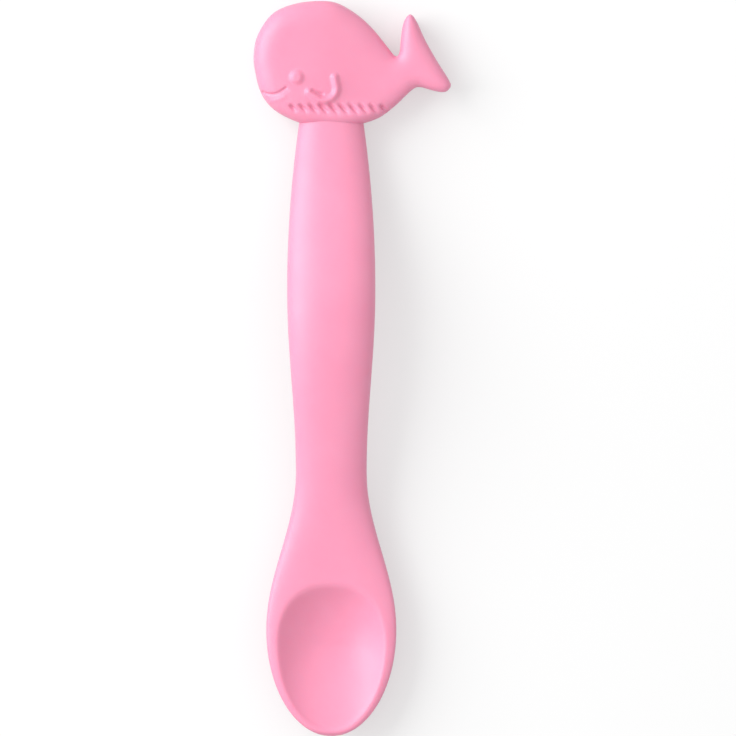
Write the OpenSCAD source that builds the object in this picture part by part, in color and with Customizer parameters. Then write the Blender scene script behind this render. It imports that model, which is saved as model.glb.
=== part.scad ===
// Baby spoon: a soft silicone bowl and handle moulded round a hidden flat steel core, with a whale
// moulded on over the handle's end. It lies on the underside of its bowl and the whale's flat back.
// X runs across the spoon, Y along it from bowl to whale, and Z up. The origin is the middle of the
// whale's flat back, on the handle's centre line. A station is a distance from the bowl's tip.

/* [Overall] */
// Length from the bowl's tip to the top of the whale
overall_l = 140; // [130:1:160]

/* [Bowl] */
// Outside width of the bowl
bowl_w = 24.8; // [22:0.2:28]
// Height of the rim over the surface that the spoon lies on
rim_h = 7.6; // [7:0.1:9]
// Station of the bowl's widest and lowest point
bowl_at = 20.2; // [18:0.1:23]
// Height of the rounded outer edge of the rim
rim_round = 1.5; // [1:0.1:2]
// How far the rim's rounding reaches in from the tip
tip_round = 1.8; // [1:0.1:3]
// Width of the hollow under its soft edge
hollow_w = 19.6; // [17:0.1:20.4]
// Depth of the hollow below the rim
hollow_d = 4.3; // [4:0.1:5.2]
// Station of the hollow's widest and deepest point
hollow_at = 17.5; // [16:0.1:19]
// Length of the hollow from its deepest point towards the handle
hollow_back_l = 10.6; // [9:0.1:11.5]
// Wall left between the hollow and the bowl's tip, under the soft edge
tip_wall = 1.6; // [1.3:0.05:2]
// Radius of the rim's soft inner edge
lip_r = 2.4; // [1.6:0.1:2.8]

/* [Handle] */
// Width at the waist, just behind the bowl
waist_w = 13.5; // [11:0.1:16]
// Thickness at the waist
waist_t = 6.8; // [6:0.1:8]
// Station of the waist
waist_at = 50.3; // [46:0.1:54]
// Width of the grip at its widest
grip_w = 16.8; // [14:0.1:20]
// Thickness of the grip
grip_t = 8.6; // [7:0.1:10]
// Station of the grip's widest point
grip_at = 85; // [80:0.5:90]
// Width of the neck where it goes into the whale
neck_w = 12.5; // [10:0.1:14]
// Thickness of the neck
neck_t = 7; // [6:0.1:7.4]
// Height of the arch's top over the surface that the spoon lies on
crest_h = 14.6; // [12:0.1:18]
// Station where the arch starts to rise from the rim
arch_from = 28; // [24:0.5:34]
// Station of the arch's top
crest_at = 80; // [72:0.5:88]
// Length of the handle's end inside the whale
seat_l = 4.6; // [3:0.1:6]

/* [Whale] */
// Width from the whale's nose to the end of its tail
whale_w = 37.6; // [34:0.1:42]
// Height from the whale's belly to the top of its head
whale_h = 24; // [22:0.1:27]
// Thickness of the whale
whale_t = 9; // [8.4:0.1:10.5]
// Height of the whale's widest outline over its flat back
whale_mid = 4.8; // [4:0.1:5.4]
// How far the front's soft rounding reaches in from the outline
front_round = 6; // [4:0.1:7]
// How far the back edge's rounding reaches in from the outline
back_round = 1.5; // [1:0.1:2]

/* [Whale's face] */
// Width of the eye
eye_w = 2.8; // [2:0.1:3.4]
// Height of the eye over the front
eye_h = 0.8; // [0.4:0.05:1]
// Width of the fin's raised line
fin_w = 1.2; // [0.8:0.05:1.6]
// Height of the fin's line over the front
fin_h = 0.6; // [0.3:0.05:0.8]
// Radius of the fin's curl
fin_r = 2.4; // [2:0.1:2.8]
// Width of the mouth's groove
mouth_w = 0.8; // [0.4:0.05:1]
// Number of pleats under the chin
pleats = 10; // [6:1:12]
// Distance from one pleat to the next
pleat_pitch = 1.92; // [1.6:0.01:2]
// Length of the longest pleat
pleat_l = 2.6; // [2:0.1:3]
// Width of a pleat's groove
pleat_w = 0.64; // [0.4:0.02:0.8]
// Slant of the pleats from the handle's line
pleat_slant = 43; // [30:1:60]

/* [Core] */
// Thickness of the core's steel strip
core_t = 1.2; // [0.8:0.1:1.6]
// Width of the strip in the handle
core_w = 6.4; // [5:0.1:8]
// Station where the core ends behind the bowl
core_from = 33; // [32:0.5:40]
// Width of the core's rounded foot behind the bowl
foot_w = 8.4; // [7:0.1:10]
// Width of the core's round head inside the whale
head_w = 11; // [9:0.1:13]
// Diameter of the hole in the head
head_hole_d = 4.4; // [3:0.1:6]
// Width of the slots that the silicone flows through
slot_w = 2.4; // [1.6:0.1:3]
// Length of each slot
slot_l = 8; // [5:0.5:9]
// Number of slots along the strip
slots = 5; // [3:1:6]
// Film of primer between the core and the silicone
bond_t = 0.03; // [0.02:0.01:0.1]

/* [Hidden] */
silicone = "#FBA8C6";
steel = "#BFC3C8";

// Points round a section of the handle, and sections along each stretch of it
section_points = 42;
tip_sections = 10;
// The first section lies at this share of the first step from the tip
first_step_share = 0.15;
bowl_sections = 14;
grip_sections = 22;
// Fullness of an oval: 2 is an ellipse, and more is squarer
rim_fullness = 4;
handle_fullness = 2.3;
keel_fullness = 2.2;
heel_fullness = 2.25;
front_fullness = 2.8;
// Power that gives the bowl's underside its rise to the tip
keel_rise = 0.8;
// Share of the handle's thickness that lies under its widest line
handle_under_share = 0.5;
// Rounds of the hollow from its rim to its floor, and of its soft inner edge
hollow_levels = 11;
lip_levels = 3;
// How far the soft edge turns over, from the hollow's slope to level
lip_turn = 42;
// How fast the hollow narrows with its depth: at the sides and the heel, and towards the tip
wall_draw = 0.4;
tip_draw = 0.9;
hollow_points = 60;
// The deepest round lies at this share of the hollow's depth
floor_share = 0.995;
// How far a cut runs past the face that it opens
overrun = 1;

// The station where the handle goes in under the whale's belly, and the height of its top there
belly_at = overall_l - whale_h;
neck_top = (whale_t + neck_t) / 2;

// The whale's outline, clockwise from under the chin, as shares of its width and height. It is
// measured from the handle's centre line and the belly.
outline_shares = [
    [-0.080, 0.008], [-0.170, 0.038], [-0.264, 0.107], [-0.324, 0.188], [-0.362, 0.290],
    [-0.385, 0.428], [-0.394, 0.560], [-0.374, 0.725], [-0.305, 0.888], [-0.208, 0.967],
    [-0.088, 0.998], [0.024, 0.985], [0.130, 0.892], [0.211, 0.776], [0.286, 0.630],
    [0.316, 0.570], [0.335, 0.562], [0.347, 0.600], [0.352, 0.700], [0.366, 0.828],
    [0.398, 0.894], [0.431, 0.840], [0.475, 0.690], [0.535, 0.524], [0.596, 0.370],
    [0.604, 0.318], [0.575, 0.277], [0.520, 0.286], [0.446, 0.316], [0.404, 0.287],
    [0.317, 0.158], [0.222, 0.058], [0.070, 0]
];
// The line through the middle of the body, and those out to the ends of both flukes. What lies
// to the left of the notch over the tail keeps to the body's line.
body_line_shares = [[[-0.190, 0.540], [0.215, 0.400]], [[0.215, 0.400], [0.430, 0.470]]];
fluke_line_shares = [[[0.430, 0.470], [0.405, 0.815]], [[0.430, 0.470], [0.568, 0.345]]];
notch_share = 0.345;
outline_steps = 3;
back_rings = 4;
front_rings = 7;
// The front's last ring stops at this share of the way to the middle line
ridge_share = 0.88;

// Places on the whale's face, in the shares of its outline
eye_shares = [-0.175, 0.389];
fin_shares = [-0.037, 0.305];
fin_stem_shares = [0.016, 0.390];
fin_end_shares = [-0.113, 0.273];
mouth_shares = [
    [-0.349, 0.272], [-0.332, 0.260], [-0.310, 0.254], [-0.284, 0.257], [-0.258, 0.275],
    [-0.230, 0.306]
];
pleat_shares = [0.036, 0.152];
// Shares of the longest pleat's length that the row's two ends have
pleat_end_share = 0.6;
fin_steps = 9;
fin_turn = 110;
bead_facets = 12;

// A smooth step from 0 to 1 while v runs from a to b
function ease(a, b, v) = (1 - cos(180 * max(0, min(1, (v - a) / (b - a))))) / 2;

function blend(a, b, share) = a + (b - a) * share;

// A number raised to a power with its sign kept
function power(v, n) = sign(v) * pow(abs(v), n);

// The place along Y of a station
function place(s) = s - belly_at - whale_h / 2;

function half_width(s) =
    s <= bowl_at ? bowl_w / 2 * sqrt(1 - pow(1 - s / bowl_at, 2))
    : s <= waist_at ? blend(bowl_w, waist_w, ease(bowl_at, waist_at, s)) / 2
    : s <= grip_at ? blend(waist_w, grip_w, ease(waist_at, grip_at, s)) / 2
    : blend(grip_w, neck_w, pow((s - grip_at) / (belly_at - grip_at), 2)) / 2;

function thickness(s) =
    s <= waist_at ? blend(rim_h, waist_t, ease(bowl_at, waist_at, s))
    : s <= grip_at ? blend(waist_t, grip_t, ease(waist_at, grip_at, s))
    : blend(grip_t, neck_t, ease(grip_at, belly_at, s));

// Height of the handle's top line, without the rounding of the bowl's tip
function top_line(s) =
    s <= crest_at ? blend(rim_h, crest_h, ease(arch_from, crest_at, s))
    : blend(crest_h, neck_top, ease(crest_at, belly_at, s));

function underside(s) =
    s <= bowl_at
    ? (rim_h - rim_round) * (1 - pow(1 - pow(1 - s / bowl_at, 2), keel_rise))
    : top_line(s) - thickness(s);

// Height of a section's widest line
function side_line(s) =
    s <= bowl_at ? rim_h - rim_round
    : underside(s) + thickness(s) * blend((rim_h - rim_round) / rim_h, handle_under_share,
                                          ease(bowl_at, waist_at, s));

// Rise of a section's top over its widest line, rounded down to nothing at the tip
function crown(s) =
    (top_line(s) - side_line(s)) * sqrt(1 - pow(max(0, 1 - s / tip_round), 2));

// One section of the handle or the bowl: an oval with a squarer top over the bowl
function section(s) =
    let (
        over = blend(rim_fullness, handle_fullness, ease(bowl_at, waist_at, s)),
        under = blend(keel_fullness, handle_fullness, ease(bowl_at, waist_at, s))
    ) [
        for (i = [0 : section_points - 1])
            let (
                a = 360 * i / section_points,
                n = sin(a) >= 0 ? over : under,
                h = sin(a) >= 0 ? crown(s) : side_line(s) - underside(s)
            )
            [half_width(s) * power(cos(a), 2 / n), place(s), side_line(s) + h * power(sin(a), 2 / n)]
    ];

// A closed solid through a row of flat rings that have the same number of points
module loft(rings) {
    n = len(rings[0]);
    last = len(rings) - 1;
    sides = [
        for (k = [0 : last - 1]) for (i = [0 : n - 1])
            let (a = k * n + i, b = k * n + (i + 1) % n)
            each [[a, b, a + n], [b, b + n, a + n]]
    ];
    ends = [[for (i = [0 : n - 1]) n - 1 - i], [for (i = [0 : n - 1]) last * n + i]];
    polyhedron([for (r = rings) each r], concat(sides, ends));
}

// The bowl and the handle as one bar, without the hollow. It runs on into the whale by seat_l.
module bar() {
    tip = [for (i = concat([first_step_share], [for (k = [1 : tip_sections]) k]))
        bowl_at * (1 - cos(90 * i / tip_sections))];
    bowl = [for (i = [1 : bowl_sections]) blend(bowl_at, waist_at, i / bowl_sections)];
    grip = [for (i = [1 : grip_sections]) blend(waist_at, belly_at + seat_l, i / grip_sections)];
    loft([for (s = concat(tip, bowl, grip)) section(s)]);
}

// One level outline of the hollow, squarer towards the handle. It lies at a share of the depth,
// where the walls have drawn in steeply and the slope up to the tip gently. It is grown outwards
// by a margin.
function hollow_round(depth_share, z, margin) =
    let (
        side = hollow_w / 2 * pow(1 - depth_share, wall_draw),
        back = hollow_back_l * pow(1 - depth_share, wall_draw),
        front = (hollow_at - tip_wall) * pow(1 - depth_share, tip_draw)
    ) [
        for (i = [0 : hollow_points - 1])
            let (
                a = 360 * i / hollow_points,
                n = sin(a) > 0 ? heel_fullness : 2,
                l = sin(a) > 0 ? back : front
            )
            [
                (side + margin) * power(cos(a), 2 / n),
                place(hollow_at) + (l + margin) * power(sin(a), 2 / n),
                z
            ]
    ];

// Height and reach of the rim's soft inner edge
lip_h = lip_r * (1 - cos(lip_turn));
lip_reach = lip_r * sin(lip_turn);

// The hollow of the bowl as a stack of level slices, with a soft edge that opens out at the rim
module hollow() {
    floor_part = [
        for (i = [hollow_levels : -1 : 0])
            let (share = floor_share * (1 - pow(1 - i / hollow_levels, 2)))
            hollow_round(share, rim_h - lip_h - (hollow_d - lip_h) * share, 0)
    ];
    lip_part = [
        for (i = [1 : lip_levels])
            let (a = lip_turn * (1 - i / lip_levels))
            hollow_round(0, rim_h - lip_r * (1 - cos(a)), lip_reach - lip_r * sin(a))
    ];
    rounds = concat(floor_part, lip_part, [hollow_round(0, rim_h + overrun, lip_reach)]);
    for (i = [0 : len(rounds) - 2]) hull() loft([rounds[i], rounds[i + 1]]);
}

// Height of the middle of the bar's thickness at a station
function middle_line(s) = (top_line(s) + underside(s)) / 2;

// Stations of the first and last slot's middle, and of the core's head
slots_from = core_from + foot_w + slot_l / 2;
slots_to = belly_at - slot_l;
head_at = belly_at + whale_h / 2;

// The core seen from above, grown by a margin. Silicone fills its slots and its hole.
module core_plan(margin) {
    difference() {
        union() {
            translate([0, place(core_from + foot_w / 2)]) circle(d = foot_w + 2 * margin, $fn = 48);
            translate([0, place(head_at)]) circle(d = head_w + 2 * margin, $fn = 64);
            translate([-core_w / 2 - margin, place(core_from + foot_w / 2)])
                square([core_w + 2 * margin, head_at - core_from - foot_w / 2]);
        }
        translate([0, place(head_at)]) circle(d = head_hole_d - 2 * margin, $fn = 48);
        for (i = [0 : slots - 1])
            translate([0, place(blend(slots_from, slots_to, i / (slots - 1)))]) slot(margin);
    }
}

module slot(margin) {
    run = slot_l - slot_w;
    for (end = [-1, 1]) translate([0, end * run / 2]) circle(d = slot_w - 2 * margin, $fn = 32);
    square([slot_w - 2 * margin, run], center = true);
}

// The core as a flat strip that follows the arch of the handle
module core(margin) {
    arch = [for (i = [0 : grip_sections]) blend(core_from - margin, belly_at, i / grip_sections)];
    stations = concat(arch, [head_at + head_w / 2 + margin]);
    half_t = core_t / 2 + margin;
    upper = [for (s = stations) [place(s), middle_line(s) + half_t]];
    lower = [for (s = stations) [place(s), middle_line(s) - half_t]];
    width = max(foot_w, head_w) + 2 * overrun;
    intersection() {
        linear_extrude(crest_h + overrun) core_plan(margin);
        rotate([90, 0, 90]) linear_extrude(width, center = true)
            polygon(concat(upper, [for (i = [len(lower) - 1 : -1 : 0]) lower[i]]));
    }
}

// A point of the whale's face or outline from its shares
function whale_point(shares) = [shares[0] * whale_w, (shares[1] - 1 / 2) * whale_h];

// A smooth closed curve through a row of points
function curve(p, steps) = [
    for (i = [0 : len(p) - 1]) for (j = [0 : steps - 1])
        let (
            a = p[(i + len(p) - 1) % len(p)], b = p[i],
            c = p[(i + 1) % len(p)], d = p[(i + 2) % len(p)], t = j / steps
        )
        b + ((c - a) * t + (2 * a - 5 * b + 4 * c - d) * pow(t, 2)
             + (3 * b - a - 3 * c + d) * pow(t, 3)) / 2
];

// The point of a line from a to b that lies nearest to p
function nearest(p, a, b) = a + (b - a) * max(0, min(1, (p - a) * (b - a) / ((b - a) * (b - a))));

// The point of the whale's middle line that lies nearest to p
function inner(p) =
    let (
        lines = p[0] < notch_share * whale_w ? body_line_shares
            : concat(body_line_shares, fluke_line_shares),
        found = [for (line = lines) nearest(p, whale_point(line[0]), whale_point(line[1]))],
        gaps = [for (q = found) norm(q - p)]
    ) found[search(min(gaps), gaps)[0]];

outline = curve([for (shares = outline_shares) whale_point(shares)], outline_steps);
inners = [for (p = outline) inner(p)];

// How far the front's rounding reaches at a distance to the middle line
function reach(gap) = min(front_round, ridge_share * gap);

// The whale's outline drawn in towards its middle line by a share of a rounding's reach
function whale_ring(round_r, share, z) = [
    for (i = [0 : len(outline) - 1])
        let (gap = norm(inners[i] - outline[i]), p = outline[i] + (inners[i] - outline[i])
            * share * min(round_r, ridge_share * gap) / gap)
        [p[0], p[1], z]
];

// The whale's plain body: a flat back, a small rounding at the back and a soft front
module whale_body() {
    back = [
        for (i = [0 : back_rings - 1])
            let (a = 90 * i / back_rings)
            whale_ring(back_round, 1 - sin(a), whale_mid * (1 - cos(a)))
    ];
    front = [
        for (i = [0 : front_rings])
            let (a = 90 * i / front_rings)
            whale_ring(front_round, 1 - power(cos(a), 2 / front_fullness),
                       whale_mid + (whale_t - whale_mid) * power(sin(a), 2 / front_fullness))
    ];
    loft(concat(back, front));
}

// Height of the whale's front at a point of its face
function face_z(p) =
    let (
        gaps = [for (q = outline) norm(q - p)],
        edge = min(gaps),
        i = search(edge, gaps)[0],
        share = min(1, edge / reach(norm(inners[i] - outline[i])))
    ) whale_mid + (whale_t - whale_mid) * pow(1 - pow(1 - share, front_fullness), 1 / front_fullness);

// A chain of round beads along points of the face, whose middles lie at a height over the front
module chain(points, d, height) {
    for (i = [0 : len(points) - 2]) hull() for (p = [points[i], points[i + 1]])
        translate([p[0], p[1], face_z(p) + height]) sphere(d = d, $fn = bead_facets);
}

module eye() {
    p = whale_point(eye_shares);
    ball_r = (pow(eye_w / 2, 2) + pow(eye_h, 2)) / (2 * eye_h);
    translate([p[0], p[1], face_z(p) + eye_h - ball_r]) sphere(ball_r, $fn = 32);
}

// The fin's raised line: a short stem, a curl under it and a straight end
module fin() {
    middle = whale_point(fin_shares);
    curl = [
        for (i = [0 : fin_steps])
            let (a = -fin_turn * i / fin_steps)
            middle + fin_r * [cos(a), sin(a)]
    ];
    path = concat([whale_point(fin_stem_shares)], curl, [whale_point(fin_end_shares)]);
    chain(path, fin_w, fin_h - fin_w / 2);
}

module mouth() {
    chain([for (shares = mouth_shares) whale_point(shares)], mouth_w, 0);
}

// The slanted pleats under the chin, the longest in the middle of the row
module chin_pleats() {
    for (i = [0 : pleats - 1]) {
        off = i - (pleats - 1) / 2;
        l = pleat_l * blend(1, pleat_end_share, pow(2 * off / pleats, 2));
        p = whale_point(pleat_shares) + [off * pleat_pitch, 0];
        run = l / 2 * [sin(pleat_slant), -cos(pleat_slant)];
        chain([p - run, p + run], pleat_w, 0);
    }
}

module steel_core() {
    color(steel) core(0);
}

module bowl_and_handle() {
    color(silicone) difference() {
        bar();
        hollow();
        core(bond_t);
    }
}

module whale_head() {
    color(silicone) difference() {
        union() {
            difference() {
                whale_body();
                mouth();
                chin_pleats();
            }
            eye();
            fin();
        }
        bar();
        core(bond_t);
    }
}

steel_core();
bowl_and_handle();
whale_head();
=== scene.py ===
"""A soft silicone baby spoon with a whale on its handle, seen straight from above.

Shapes are worked out in millimetres, as in the part's source, and made metres at the end.
"""

import math

import bmesh
import bpy
import numpy as np
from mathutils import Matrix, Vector


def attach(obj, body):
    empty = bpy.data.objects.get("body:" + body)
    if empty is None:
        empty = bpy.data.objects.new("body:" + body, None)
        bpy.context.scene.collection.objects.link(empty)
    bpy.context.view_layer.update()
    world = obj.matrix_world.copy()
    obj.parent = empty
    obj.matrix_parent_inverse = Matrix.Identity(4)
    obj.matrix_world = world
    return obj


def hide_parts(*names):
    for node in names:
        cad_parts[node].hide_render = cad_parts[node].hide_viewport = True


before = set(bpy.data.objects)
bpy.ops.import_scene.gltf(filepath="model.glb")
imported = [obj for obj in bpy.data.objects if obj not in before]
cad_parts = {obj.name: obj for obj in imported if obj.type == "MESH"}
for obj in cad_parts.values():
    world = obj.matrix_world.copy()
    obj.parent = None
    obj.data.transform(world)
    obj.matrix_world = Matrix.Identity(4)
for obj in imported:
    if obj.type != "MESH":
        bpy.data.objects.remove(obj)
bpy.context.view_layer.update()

MM = 0.001

# Stations along the spoon, counted from the bowl's tip, and where station 0 lies along Y
BOWL_AT, WAIST_AT, GRIP_AT, BELLY_AT = 20.2, 50.3, 85.0, 116.0
ARCH_FROM, CREST_AT, BAR_END = 28.0, 80.0, 120.6
TIP_Y = -128.0

BOWL_W, WAIST_W, GRIP_W, NECK_W = 24.8, 13.5, 16.8, 12.5
RIM_H, SIDE_H, WAIST_T, GRIP_T, NECK_T = 7.6, 6.1, 6.8, 8.6, 7.0
CREST_H, NECK_TOP = 14.6, 8.0
TIP_ROUND, TIP_LIFT = 1.8, 0.8

# How square an oval is: 2 is a round one, and more is squarer
RIM_SQUARE, KEEL_SQUARE, BAR_SQUARE = 4.0, 2.2, 2.3
HEEL_SQUARE, TIP_SQUARE = 2.25, 2.0

HOLLOW_AT, HOLLOW_SIDE, HOLLOW_BACK, HOLLOW_FRONT = 17.5, 9.8, 10.6, 15.9
HOLLOW_D, LIP_R, LIP_TURN = 4.3, 2.4, math.radians(42)
HEEL_STEEPNESS, TIP_STEEPNESS = 0.4, 0.9

WHALE_W, WHALE_H, WHALE_T, WHALE_MID = 37.6, 24.0, 9.0, 4.8
BACK_ROUND, FRONT_ROUND, FRONT_FULLNESS = 1.5, 6.0, 2.8
RIDGE_SHARE, NOTCH_SHARE = 0.88, 0.345
FRONT_REACH, TAIL_REACH, TAIL_DROP = 5.0, 3.7, 1.7

# Corners and rings of the spoon's sweep, whose first ring lies a part of a step from the tip
SECTION_CORNERS, TIP_RINGS, FIRST_RING, BAR_RINGS = 112, 24, 0.15, 110

# Corners and rings of the hollow, and the share of its depth at which its floor is closed
HOLLOW_CORNERS, HOLLOW_RINGS, LIP_RINGS, FLOOR_SHARE = 144, 28, 8, 0.998
CUT_OVERRUN = 1.0

# Steps between two points of the whale's outline, and rings of its back and front
OUTLINE_STEPS, BACK_RINGS, FRONT_RINGS = 6, 6, 14

# Grain of each piece's skin in millimetres, how often it is softened, and by how much a time
SPOON_GRAIN, SPOON_SOFTENING = 0.26, 10
WHALE_GRAIN, WHALE_SOFTENING = 0.16, 8
SOFTENING_STEP = 0.5


# Plain maths


def ease(start, end, value):
    """A smooth step from 0 to 1 while value goes from start to end."""
    share = max(0.0, min(1.0, (value - start) / (end - start)))
    return (1 - math.cos(math.pi * share)) / 2


def blend(a, b, share):
    return a + (b - a) * share


def power(value, n):
    """A number raised to a power with its sign kept."""
    return math.copysign(abs(value) ** n, value)


# The spoon's section


def half_width(s):
    if s <= BOWL_AT:
        return BOWL_W / 2 * math.sqrt(1 - (1 - s / BOWL_AT) ** 2)
    if s <= WAIST_AT:
        return blend(BOWL_W, WAIST_W, ease(BOWL_AT, WAIST_AT, s)) / 2
    if s <= GRIP_AT:
        return blend(WAIST_W, GRIP_W, ease(WAIST_AT, GRIP_AT, s)) / 2
    return blend(GRIP_W, NECK_W, ((s - GRIP_AT) / (BELLY_AT - GRIP_AT)) ** 2) / 2


def thickness(s):
    if s <= WAIST_AT:
        return blend(RIM_H, WAIST_T, ease(BOWL_AT, WAIST_AT, s))
    if s <= GRIP_AT:
        return blend(WAIST_T, GRIP_T, ease(WAIST_AT, GRIP_AT, s))
    return blend(GRIP_T, NECK_T, ease(GRIP_AT, BELLY_AT, s))


def top_line(s):
    if s <= CREST_AT:
        return blend(RIM_H, CREST_H, ease(ARCH_FROM, CREST_AT, s))
    return blend(CREST_H, NECK_TOP, ease(CREST_AT, BELLY_AT, s))


def underside(s):
    if s <= BOWL_AT:
        return SIDE_H * (1 - (1 - (1 - s / BOWL_AT) ** 2) ** TIP_LIFT)
    return top_line(s) - thickness(s)


def side_line(s):
    """Height of a section's widest line."""
    if s <= BOWL_AT:
        return SIDE_H
    share = blend(SIDE_H / RIM_H, 0.5, ease(BOWL_AT, WAIST_AT, s))
    return underside(s) + thickness(s) * share


def section(s):
    """The spoon's closed section at a station: an oval, with a squarer top over the bowl."""
    over = blend(RIM_SQUARE, BAR_SQUARE, ease(BOWL_AT, WAIST_AT, s))
    under = blend(KEEL_SQUARE, BAR_SQUARE, ease(BOWL_AT, WAIST_AT, s))
    middle = side_line(s)
    rise = (top_line(s) - middle) * math.sqrt(1 - max(0.0, 1 - s / TIP_ROUND) ** 2)
    points = []
    for i in range(SECTION_CORNERS):
        a = 2 * math.pi * i / SECTION_CORNERS
        n = over if math.sin(a) >= 0 else under
        h = rise if math.sin(a) >= 0 else middle - underside(s)
        points.append((
            half_width(s) * power(math.cos(a), 2 / n),
            TIP_Y + s,
            middle + h * power(math.sin(a), 2 / n),
        ))
    return points


def hollow_round(depth_share, z, margin):
    """A level outline of the bowl's hollow: steep at its squarer heel, gentle at the tip."""
    steep = (1 - depth_share) ** HEEL_STEEPNESS
    gentle = (1 - depth_share) ** TIP_STEEPNESS
    points = []
    for i in range(HOLLOW_CORNERS):
        a = 2 * math.pi * i / HOLLOW_CORNERS
        n = HEEL_SQUARE if math.sin(a) > 0 else TIP_SQUARE
        length = HOLLOW_BACK * steep if math.sin(a) > 0 else HOLLOW_FRONT * gentle
        points.append((
            (HOLLOW_SIDE * steep + margin) * power(math.cos(a), 2 / n),
            TIP_Y + HOLLOW_AT + (length + margin) * power(math.sin(a), 2 / n),
            z,
        ))
    return points


# Making a moulded piece


def ring(bm, points):
    """A closed ring of edges: a circle whose corners are moved onto the points."""
    corners = bmesh.ops.create_circle(bm, segments=len(points), radius=1.0)["verts"]
    for corner, point in zip(corners, points):
        corner.co = point
    return list({edge for corner in corners for edge in corner.link_edges})


def loft(name, rings):
    """A closed solid in millimetres whose skin runs through a row of rings."""
    bm = bmesh.new()
    loops = [ring(bm, points) for points in rings]
    for near, far in zip(loops, loops[1:]):
        bmesh.ops.bridge_loops(bm, edges=near + far)
    bmesh.ops.contextual_create(bm, geom=loops[0])
    bmesh.ops.contextual_create(bm, geom=loops[-1])
    bmesh.ops.recalc_face_normals(bm, faces=bm.faces)
    mesh = bpy.data.meshes.new(name)
    bm.to_mesh(mesh)
    bm.free()
    solid = bpy.data.objects.new(name, mesh)
    bpy.context.scene.collection.objects.link(solid)
    return solid


def cast(solid, grain, softening, cutter=None):
    """The solid as one even skin with soft edges, less the cutter, as a bmesh in millimetres."""
    if cutter:
        cut = solid.modifiers.new("hollow", "BOOLEAN")
        cut.operation = "DIFFERENCE"
        cut.solver = "EXACT"
        cut.object = cutter
    skin = solid.modifiers.new("skin", "REMESH")
    skin.mode = "VOXEL"
    skin.voxel_size = grain
    soften = solid.modifiers.new("soften", "SMOOTH")
    soften.factor = SOFTENING_STEP
    soften.iterations = softening
    finished = solid.evaluated_get(bpy.context.evaluated_depsgraph_get())
    bm = bmesh.new()
    bm.from_mesh(finished.to_mesh())
    finished.to_mesh_clear()
    for spent in filter(None, (solid, cutter)):
        bpy.data.meshes.remove(spent.data)
    bm.normal_update()
    return bm


def finish_piece(name, bm, material):
    """Turns a bmesh in millimetres into a smooth-shaded piece in metres that rides on the part."""
    bmesh.ops.scale(bm, vec=(MM, MM, MM), verts=bm.verts)
    bmesh.ops.recalc_face_normals(bm, faces=bm.faces)
    for face in bm.faces:
        face.smooth = True
    mesh = bpy.data.meshes.new(name)
    bm.to_mesh(mesh)
    bm.free()
    mesh.materials.append(material)
    piece = bpy.data.objects.new(name, mesh)
    bpy.context.scene.collection.objects.link(piece)
    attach(piece, "root")
    return piece


# The whale's outline

# Shares of the whale's width and height, clockwise from under the chin
OUTLINE_SHARES = [
    (-0.080, 0.008), (-0.170, 0.038), (-0.264, 0.107), (-0.324, 0.188), (-0.362, 0.290),
    (-0.385, 0.428), (-0.394, 0.560), (-0.374, 0.725), (-0.305, 0.888), (-0.208, 0.967),
    (-0.088, 0.998), (0.024, 0.985), (0.130, 0.892), (0.211, 0.776), (0.286, 0.630),
    (0.316, 0.570), (0.335, 0.562), (0.347, 0.600), (0.352, 0.700), (0.366, 0.828),
    (0.398, 0.894), (0.431, 0.840), (0.475, 0.690), (0.535, 0.524), (0.596, 0.370),
    (0.604, 0.318), (0.575, 0.277), (0.520, 0.286), (0.446, 0.316), (0.404, 0.287),
    (0.317, 0.158), (0.222, 0.058), (0.070, 0.000),
]
BODY_LINES = [((-0.190, 0.540), (0.215, 0.400)), ((0.215, 0.400), (0.430, 0.470))]
FLUKE_LINES = [((0.430, 0.470), (0.405, 0.815)), ((0.430, 0.470), (0.568, 0.345))]


def whale_point(shares):
    return Vector((shares[0] * WHALE_W, (shares[1] - 0.5) * WHALE_H))


def closed_curve(points, steps):
    """A smooth closed curve through a row of points."""
    curve = []
    for i, b in enumerate(points):
        a, c, d = points[i - 1], points[(i + 1) % len(points)], points[(i + 2) % len(points)]
        for j in range(steps):
            t = j / steps
            curve.append(b + ((c - a) * t + (2 * a - 5 * b + 4 * c - d) * t**2
                              + (3 * b - a - 3 * c + d) * t**3) / 2)
    return curve


def nearest(p, a, b):
    """The point of the line from a to b that lies nearest to p."""
    along = (p - a).dot(b - a) / (b - a).length_squared
    return a + (b - a) * max(0.0, min(1.0, along))


def middle_of(p):
    """The point of the whale's middle line that lies nearest to p."""
    lines = BODY_LINES if p.x < NOTCH_SHARE * WHALE_W else BODY_LINES + FLUKE_LINES
    found = [nearest(p, whale_point(a), whale_point(b)) for a, b in lines]
    return min(found, key=lambda q: (q - p).length)


def whale_ring(outline, round_r, share, z):
    """The outline drawn in towards the middle line by a share of a rounding's reach."""
    points = []
    for p in outline:
        way = middle_of(p) - p
        drawn = p + way * (share * min(round_r, RIDGE_SHARE * way.length) / way.length)
        points.append((drawn.x, drawn.y, z))
    return points


def whale_outline():
    return closed_curve([whale_point(shares) for shares in OUTLINE_SHARES], OUTLINE_STEPS)


def whale_blank():
    """The whale without its face: a flat back with a small rounding, and a soft front."""
    outline = whale_outline()
    rings = []
    for i in range(BACK_RINGS):
        a = math.pi / 2 * i / BACK_RINGS
        rings.append(whale_ring(outline, BACK_ROUND, 1 - math.sin(a),
                                WHALE_MID * (1 - math.cos(a))))
    for i in range(FRONT_RINGS + 1):
        a = math.pi / 2 * i / FRONT_RINGS
        rings.append(whale_ring(outline, FRONT_ROUND, 1 - math.cos(a) ** (2 / FRONT_FULLNESS),
                                blend(WHALE_MID, WHALE_T, math.sin(a) ** (2 / FRONT_FULLNESS))))
    return loft("whale_blank", rings)


# The whale's face

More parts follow.
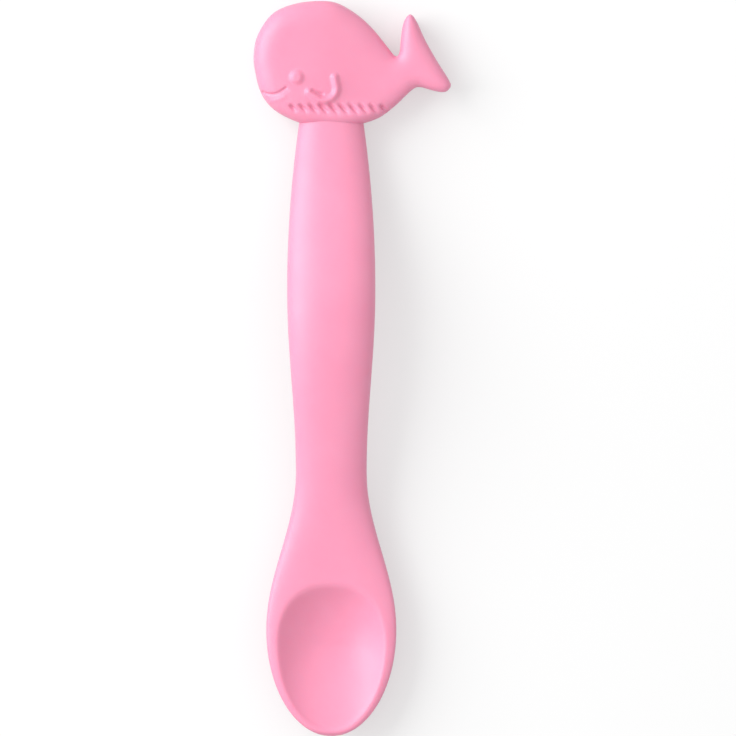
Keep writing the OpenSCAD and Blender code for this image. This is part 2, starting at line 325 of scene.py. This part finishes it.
# Lines of the face, in shares of the whale's width and height
MOUTH = [(-0.349, 0.272), (-0.332, 0.260), (-0.310, 0.254), (-0.284, 0.257), (-0.258, 0.275),
         (-0.230, 0.306)]
LOWER_LIP = [(-0.302, 0.201), (-0.273, 0.213), (-0.240, 0.240)]
EYE = (-0.175, 0.389)
FIN_STEM, FIN_CURL, FIN_END = (0.016, 0.390), (-0.037, 0.305), (-0.113, 0.273)
FIN_FOLD = [(-0.094, 0.282), (-0.072, 0.267), (-0.045, 0.258)]
PLEAT_ROW = (0.033, 0.147)

# Sizes of the face in millimetres: heights and depths, and how far each reaches sideways
EYE_H, EYE_TOP, EYE_REACH = 0.52, 0.5, 1.2
FIN_H, FIN_REACH, FIN_FULLNESS = 0.6, 1.0, 0.8
FIN_CURL_R, FIN_CURL_TURN, FIN_CURL_STEPS = 2.4, math.radians(110), 12
MOUTH_D, MOUTH_REACH = 0.32, 0.45
SMILE_D, SMILE_REACH, SMILE_OFF = 0.1, 0.9, (0.15, -0.45)
LIP_H, LIP_REACH = 0.08, 0.8
FOLD_D, FOLD_REACH = 0.3, 0.6
PLEATS, PLEAT_PITCH, PLEAT_SLANT = 10, 1.92, math.radians(43)
PLEAT_L, PLEAT_END_L_SHARE = 2.6, 0.6
PLEAT_D, PLEAT_STEEP_SIDE, PLEAT_EASY_SIDE = 0.64, 0.52, 0.74

# Along a pleat, in halves of its length: where it is deepest, and how far it fades each way
PLEAT_DEEPEST, PLEAT_UPPER_REACH, PLEAT_LOWER_REACH = -0.1, 1.25, 1.8

# Stretches over which the whale's front changes, and how often it is smoothed
NARROWING_X, SLOPING_X = (6.0, 15.0), (-6.0, 13.0)
BESIDE_NECK_X, ABOVE_NECK_Y = (6.0, 12.0), (-11.0, -6.0)
SWELLING_Z = (WHALE_MID + 0.1, WHALE_MID + 1.8)
FRONT_SMOOTHINGS, LAST_SMOOTHINGS = 40, 3

# The face is carved only where the front's normal points up by more than this
CARVED_TILT = 0.1


def gap_to(points, line):
    """Distance of many points to a broken line, both seen from above."""
    line = np.array(line)
    gaps = np.full(len(points), 1e9)
    for a, b in zip(line, line[1:]):
        way = b - a
        along = np.clip((points - a) @ way / (way @ way), 0, 1)
        gaps = np.minimum(gaps, np.linalg.norm(points - a - along[:, None] * way, axis=1))
    return gaps


def swell(gaps, reach, fullness=1.0):
    """1 on the line and 0 from reach on, with a soft top and a soft foot."""
    return ((1 + np.cos(np.pi * np.clip(gaps / reach, 0, 1))) / 2) ** fullness


def fin_line():
    """A short stem, a curl under it and a straight end."""
    middle = whale_point(FIN_CURL)
    curl = []
    for i in range(FIN_CURL_STEPS + 1):
        a = FIN_CURL_TURN * i / FIN_CURL_STEPS
        curl.append(middle + FIN_CURL_R * Vector((math.cos(a), -math.sin(a))))
    return [whale_point(FIN_STEM), *curl, whale_point(FIN_END)]


def pleat_lines():
    """The slanted folds under the chin, the longest in the middle of the row."""
    lines = []
    for i in range(PLEATS):
        off = i - (PLEATS - 1) / 2
        length = PLEAT_L * blend(1, PLEAT_END_L_SHARE, (2 * off / PLEATS) ** 2)
        at = whale_point(PLEAT_ROW) + Vector((off * PLEAT_PITCH, 0))
        run = length / 2 * Vector((math.sin(PLEAT_SLANT), -math.cos(PLEAT_SLANT)))
        lines.append([at - run, at + run])
    return lines


def face_relief(points):
    """How far the face stands out of the whale's front, or into it, in millimetres."""
    def line(shares):
        return [whale_point(pair) for pair in shares]

    eye_gap = np.linalg.norm(points - np.array(whale_point(EYE)), axis=1)
    relief = EYE_H * swell(np.maximum(eye_gap - EYE_TOP, 0), EYE_REACH)
    relief += FIN_H * swell(gap_to(points, fin_line()), FIN_REACH, FIN_FULLNESS)
    relief -= MOUTH_D * swell(gap_to(points, line(MOUTH)), MOUTH_REACH)
    relief -= SMILE_D * swell(gap_to(points - np.array(SMILE_OFF), line(MOUTH)), SMILE_REACH)
    relief += LIP_H * swell(gap_to(points, line(LOWER_LIP)), LIP_REACH)
    relief -= FOLD_D * swell(gap_to(points, line(FIN_FOLD)), FOLD_REACH)
    for upper, lower in pleat_lines():
        way = np.array(lower - upper)
        off = points - np.array((upper + lower) / 2)
        along = off @ way / (way @ way) * 2
        across = off @ np.array((-way[1], way[0])) / np.linalg.norm(way)
        fade = np.where(along < PLEAT_DEEPEST,
                        swell(PLEAT_DEEPEST - along, PLEAT_UPPER_REACH),
                        swell(along - PLEAT_DEEPEST, PLEAT_LOWER_REACH))
        side = np.where(across < 0, -across / PLEAT_STEEP_SIDE, across / PLEAT_EASY_SIDE)
        relief -= PLEAT_D * swell(side, 1) * fade
    return relief


def crown_front(bm):
    """Swells the front evenly from its edge, lower over the tail than over the body."""
    outline = [*whale_outline(), whale_outline()[0]]
    front = [vert for vert in bm.verts if vert.co.z > WHALE_MID and vert.normal.z > 0.0]
    points = np.array([(vert.co.x, vert.co.y) for vert in front])
    for vert, gap in zip(front, gap_to(points, outline)):
        x, y, z = vert.co
        reach = blend(FRONT_REACH, TAIL_REACH, ease(*NARROWING_X, x))
        over_neck = (1 - ease(*ABOVE_NECK_Y, y)) * (1 - ease(*BESIDE_NECK_X, x))
        rise = WHALE_T - WHALE_MID - TAIL_DROP * ease(*SLOPING_X, x) * (1 - over_neck)
        share = 1 - (1 - min(1.0, gap / reach)) ** FRONT_FULLNESS
        crowned = WHALE_MID + rise * share ** (1 / FRONT_FULLNESS)
        vert.co.z = blend(z, crowned, ease(*SWELLING_Z, z))
    for _ in range(FRONT_SMOOTHINGS):
        bmesh.ops.smooth_vert(bm, verts=front, factor=SOFTENING_STEP, use_axis_z=True)
    for _ in range(LAST_SMOOTHINGS):
        bmesh.ops.smooth_vert(bm, verts=bm.verts, factor=SOFTENING_STEP, use_axis_x=True,
                              use_axis_y=True, use_axis_z=True)
    bm.normal_update()


def carve_face(bm):
    """Moves the whale's front in or out along its own normal, where the face's lines run."""
    front = [vert for vert in bm.verts
             if vert.co.z > WHALE_MID and vert.normal.z > CARVED_TILT]
    relief = face_relief(np.array([(vert.co.x, vert.co.y) for vert in front]))
    steps = [vert.normal * depth for vert, depth in zip(front, relief)]
    for vert, step in zip(front, steps):
        vert.co += step


# Materials

# The range in which nearly all of a noise's values lie
NOISE_LOW, NOISE_HIGH = 0.3, 0.7


def new_material(name):
    """A material with nodes, and its Principled shader."""
    material = bpy.data.materials.new(name)
    material.use_nodes = True
    return material, material.node_tree, material.node_tree.nodes["Principled BSDF"]


def noise(tree, coordinates, scale, detail):
    node = tree.nodes.new("ShaderNodeTexNoise")
    node.inputs["Scale"].default_value = scale
    node.inputs["Detail"].default_value = detail
    tree.links.new(coordinates, node.inputs["Vector"])
    return node.outputs["Fac"]


def spread(tree, value, low, high):
    """A noise's value, which mostly lies from 0.3 to 0.7, stretched from low to high."""
    node = tree.nodes.new("ShaderNodeMapRange")
    node.inputs["From Min"].default_value = NOISE_LOW
    node.inputs["From Max"].default_value = NOISE_HIGH
    node.inputs["To Min"].default_value = low
    node.inputs["To Max"].default_value = high
    tree.links.new(value, node.inputs["Value"])
    return node.outputs["Result"]


def two_tints(tree, shader, share, first, second):
    """Colours the piece with two tints, mixed by a share from 0 to 1."""
    tint = tree.nodes.new("ShaderNodeMix")
    tint.data_type = "RGBA"
    tint.inputs["A"].default_value = first
    tint.inputs["B"].default_value = second
    tree.links.new(share, tint.inputs["Factor"])
    tree.links.new(tint.outputs["Result"], shader.inputs["Base Color"])


def fine_skin(tree, shader, height, strength, distance):
    """Gives the surface a fine relief, with its depth in metres."""
    skin = tree.nodes.new("ShaderNodeBump")
    skin.inputs["Strength"].default_value = strength
    skin.inputs["Distance"].default_value = distance
    tree.links.new(height, skin.inputs["Height"])
    tree.links.new(skin.outputs["Normal"], shader.inputs["Normal"])


def silicone_material():
    """Soft food-grade silicone: matt, a little translucent, with the fine skin of its mould."""
    material, tree, shader = new_material("pink_silicone")
    place = tree.nodes.new("ShaderNodeTexCoord").outputs["Object"]

    clouds = spread(tree, noise(tree, place, scale=90, detail=3), 0, 1)
    two_tints(tree, shader, clouds, (0.85, 0.285, 0.438, 1), (0.87, 0.307, 0.462, 1))

    handled = spread(tree, noise(tree, place, scale=260, detail=4), 0.42, 0.5)
    tree.links.new(handled, shader.inputs["Roughness"])

    grain = noise(tree, place, scale=5200, detail=3)
    fine_skin(tree, shader, grain, strength=0.12, distance=0.05 * MM)

    shader.inputs["Specular IOR Level"].default_value = 0.6
    shader.inputs["Subsurface Weight"].default_value = 0.3
    shader.inputs["Subsurface Radius"].default_value = (1.0, 0.32, 0.42)
    shader.inputs["Subsurface Scale"].default_value = 0.0009
    return material


def steel_material():
    """Spring steel with the fine lengthwise lines of brushing."""
    material, tree, shader = new_material("brushed_steel")
    coordinates = tree.nodes.new("ShaderNodeTexCoord").outputs["Object"]
    stretch = tree.nodes.new("ShaderNodeMapping")
    stretch.inputs["Scale"].default_value = (9000, 160, 9000)
    tree.links.new(coordinates, stretch.inputs["Vector"])
    lines = noise(tree, stretch.outputs["Vector"], scale=1, detail=4)

    two_tints(tree, shader, spread(tree, lines, 0, 1), (0.46, 0.47, 0.48, 1),
              (0.62, 0.63, 0.64, 1))
    tree.links.new(spread(tree, lines, 0.26, 0.4), shader.inputs["Roughness"])
    fine_skin(tree, shader, lines, strength=0.2, distance=0.01 * MM)
    shader.inputs["Metallic"].default_value = 1.0
    return material


# The pieces


def spoon_body(silicone):
    """The bowl and the handle in one sweep, with the hollow of the bowl taken out."""
    tip = [BOWL_AT * (1 - math.cos(math.pi / 2 * i / TIP_RINGS))
           for i in (FIRST_RING, *range(1, TIP_RINGS + 1))]
    handle = [blend(BOWL_AT, BAR_END, i / BAR_RINGS) for i in range(1, BAR_RINGS + 1)]
    bar = loft("spoon_bar", [section(s) for s in tip + handle])

    lip_h = LIP_R * (1 - math.cos(LIP_TURN))
    lip_reach = LIP_R * math.sin(LIP_TURN)
    rounds = []
    for i in range(HOLLOW_RINGS, -1, -1):
        share = FLOOR_SHARE * (1 - (1 - i / HOLLOW_RINGS) ** 2)
        rounds.append(hollow_round(share, RIM_H - lip_h - (HOLLOW_D - lip_h) * share, 0))
    for i in range(LIP_RINGS - 1, -1, -1):
        a = LIP_TURN * i / LIP_RINGS
        rounds.append(hollow_round(0, RIM_H - LIP_R * (1 - math.cos(a)),
                                   lip_reach - LIP_R * math.sin(a)))
    rounds.append(hollow_round(0, RIM_H + CUT_OVERRUN, lip_reach))
    hollow = loft("bowl_hollow", rounds)

    bm = cast(bar, SPOON_GRAIN, SPOON_SOFTENING, hollow)
    piece = finish_piece("silicone_spoon", bm, silicone)
    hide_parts("bowl_and_handle")


def whale_figure(silicone):
    """The whale at the handle's end, with its face raised and sunk in the front."""
    bm = cast(whale_blank(), WHALE_GRAIN, WHALE_SOFTENING)
    crown_front(bm)
    carve_face(bm)
    piece = finish_piece("silicone_whale", bm, silicone)
    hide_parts("whale_head")


# Floor, light and camera

# In metres, as Blender's own units are
FLOOR_HALF, FLOOR_DROP = 2.0, 0.0001
SPOON_MIDDLE = (0, -0.058, 0)
PICTURE_X, PICTURE_Y, PICTURE_H = 0.00698, -0.0579, 0.1404
CAMERA_H, CAMERA_RANGE = 2.5, 20
SENSOR_MM = 36


def background_rays(tree):
    """1 for rays that show the background, straight or mirrored or through a piece, else 0."""
    rays = tree.nodes.new("ShaderNodeLightPath")
    seen = rays.outputs["Is Camera Ray"]
    for kind in ("Is Glossy Ray", "Is Transmission Ray"):
        either = tree.nodes.new("ShaderNodeMath")
        either.operation = "MAXIMUM"
        tree.links.new(seen, either.inputs[0])
        tree.links.new(rays.outputs[kind], either.inputs[1])
        seen = either.outputs["Value"]
    return seen


def studio_floor():
    """A pale floor that the camera sees as white and that keeps the spoon's shadow."""
    bm = bmesh.new()
    bmesh.ops.create_grid(bm, x_segments=1, y_segments=1, size=FLOOR_HALF)
    bmesh.ops.translate(bm, vec=(0, 0, -FLOOR_DROP), verts=bm.verts)
    mesh = bpy.data.meshes.new("studio_floor")
    bm.to_mesh(mesh)
    bm.free()
    floor = bpy.data.objects.new("studio_floor", mesh)
    bpy.context.scene.collection.objects.link(floor)

    material, tree, shader = new_material("floor_paper")
    tree.links.new(background_rays(tree), shader.inputs["Emission Strength"])
    shader.inputs["Emission Color"].default_value = (0.48, 0.48, 0.48, 1)
    shader.inputs["Base Color"].default_value = (0.44, 0.44, 0.44, 1)
    shader.inputs["Roughness"].default_value = 1.0
    shader.inputs["Specular IOR Level"].default_value = 0.0
    mesh.materials.append(material)


def studio_world():
    """Even fill light, which the camera and reflections see as white."""
    world = bpy.data.worlds.new("studio")
    world.use_nodes = True
    tree = world.node_tree
    strength = tree.nodes.new("ShaderNodeMapRange")
    strength.inputs["To Min"].default_value = 0.75
    strength.inputs["To Max"].default_value = 1.0
    tree.links.new(background_rays(tree), strength.inputs["Value"])
    tree.links.new(strength.outputs["Result"], tree.nodes["Background"].inputs["Strength"])
    tree.nodes["Background"].inputs["Color"].default_value = (1, 1, 1, 1)
    bpy.context.scene.world = world


def lamp(name, azimuth, elevation, distance, size, energy):
    """A square soft box that looks at the spoon. Azimuth 0 is the right, 90 the whale's end."""
    light = bpy.data.lights.new(name, "AREA")
    light.shape = "SQUARE"
    light.size = size
    light.energy = energy
    holder = bpy.data.objects.new(name, light)
    turn, rise = math.radians(azimuth), math.radians(elevation)
    way = Vector((math.cos(turn) * math.cos(rise), math.sin(turn) * math.cos(rise),
                  math.sin(rise)))
    holder.location = Vector(SPOON_MIDDLE) + way * distance
    holder.rotation_mode = "QUATERNION"
    holder.rotation_quaternion = way.to_track_quat("Z", "Y")
    bpy.context.scene.collection.objects.link(holder)


def camera():
    """A long lens straight above the middle of the picture."""
    lens = bpy.data.cameras.new("camera")
    lens.sensor_width = SENSOR_MM
    lens.lens = SENSOR_MM * CAMERA_H / PICTURE_H
    lens.clip_end = CAMERA_RANGE
    holder = bpy.data.objects.new("camera", lens)
    holder.location = (PICTURE_X, PICTURE_Y, CAMERA_H)
    bpy.context.scene.collection.objects.link(holder)
    bpy.context.scene.camera = holder


silicone = silicone_material()
spoon_body(silicone)
whale_figure(silicone)

steel = steel_material()
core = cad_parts["steel_core"]
core.data.materials.clear()
core.data.materials.append(steel)

studio_floor()
studio_world()
lamp("key_softbox", azimuth=156, elevation=34, distance=0.9, size=0.78, energy=8.8)
camera()

bpy.context.scene.view_settings.view_transform = "Standard"
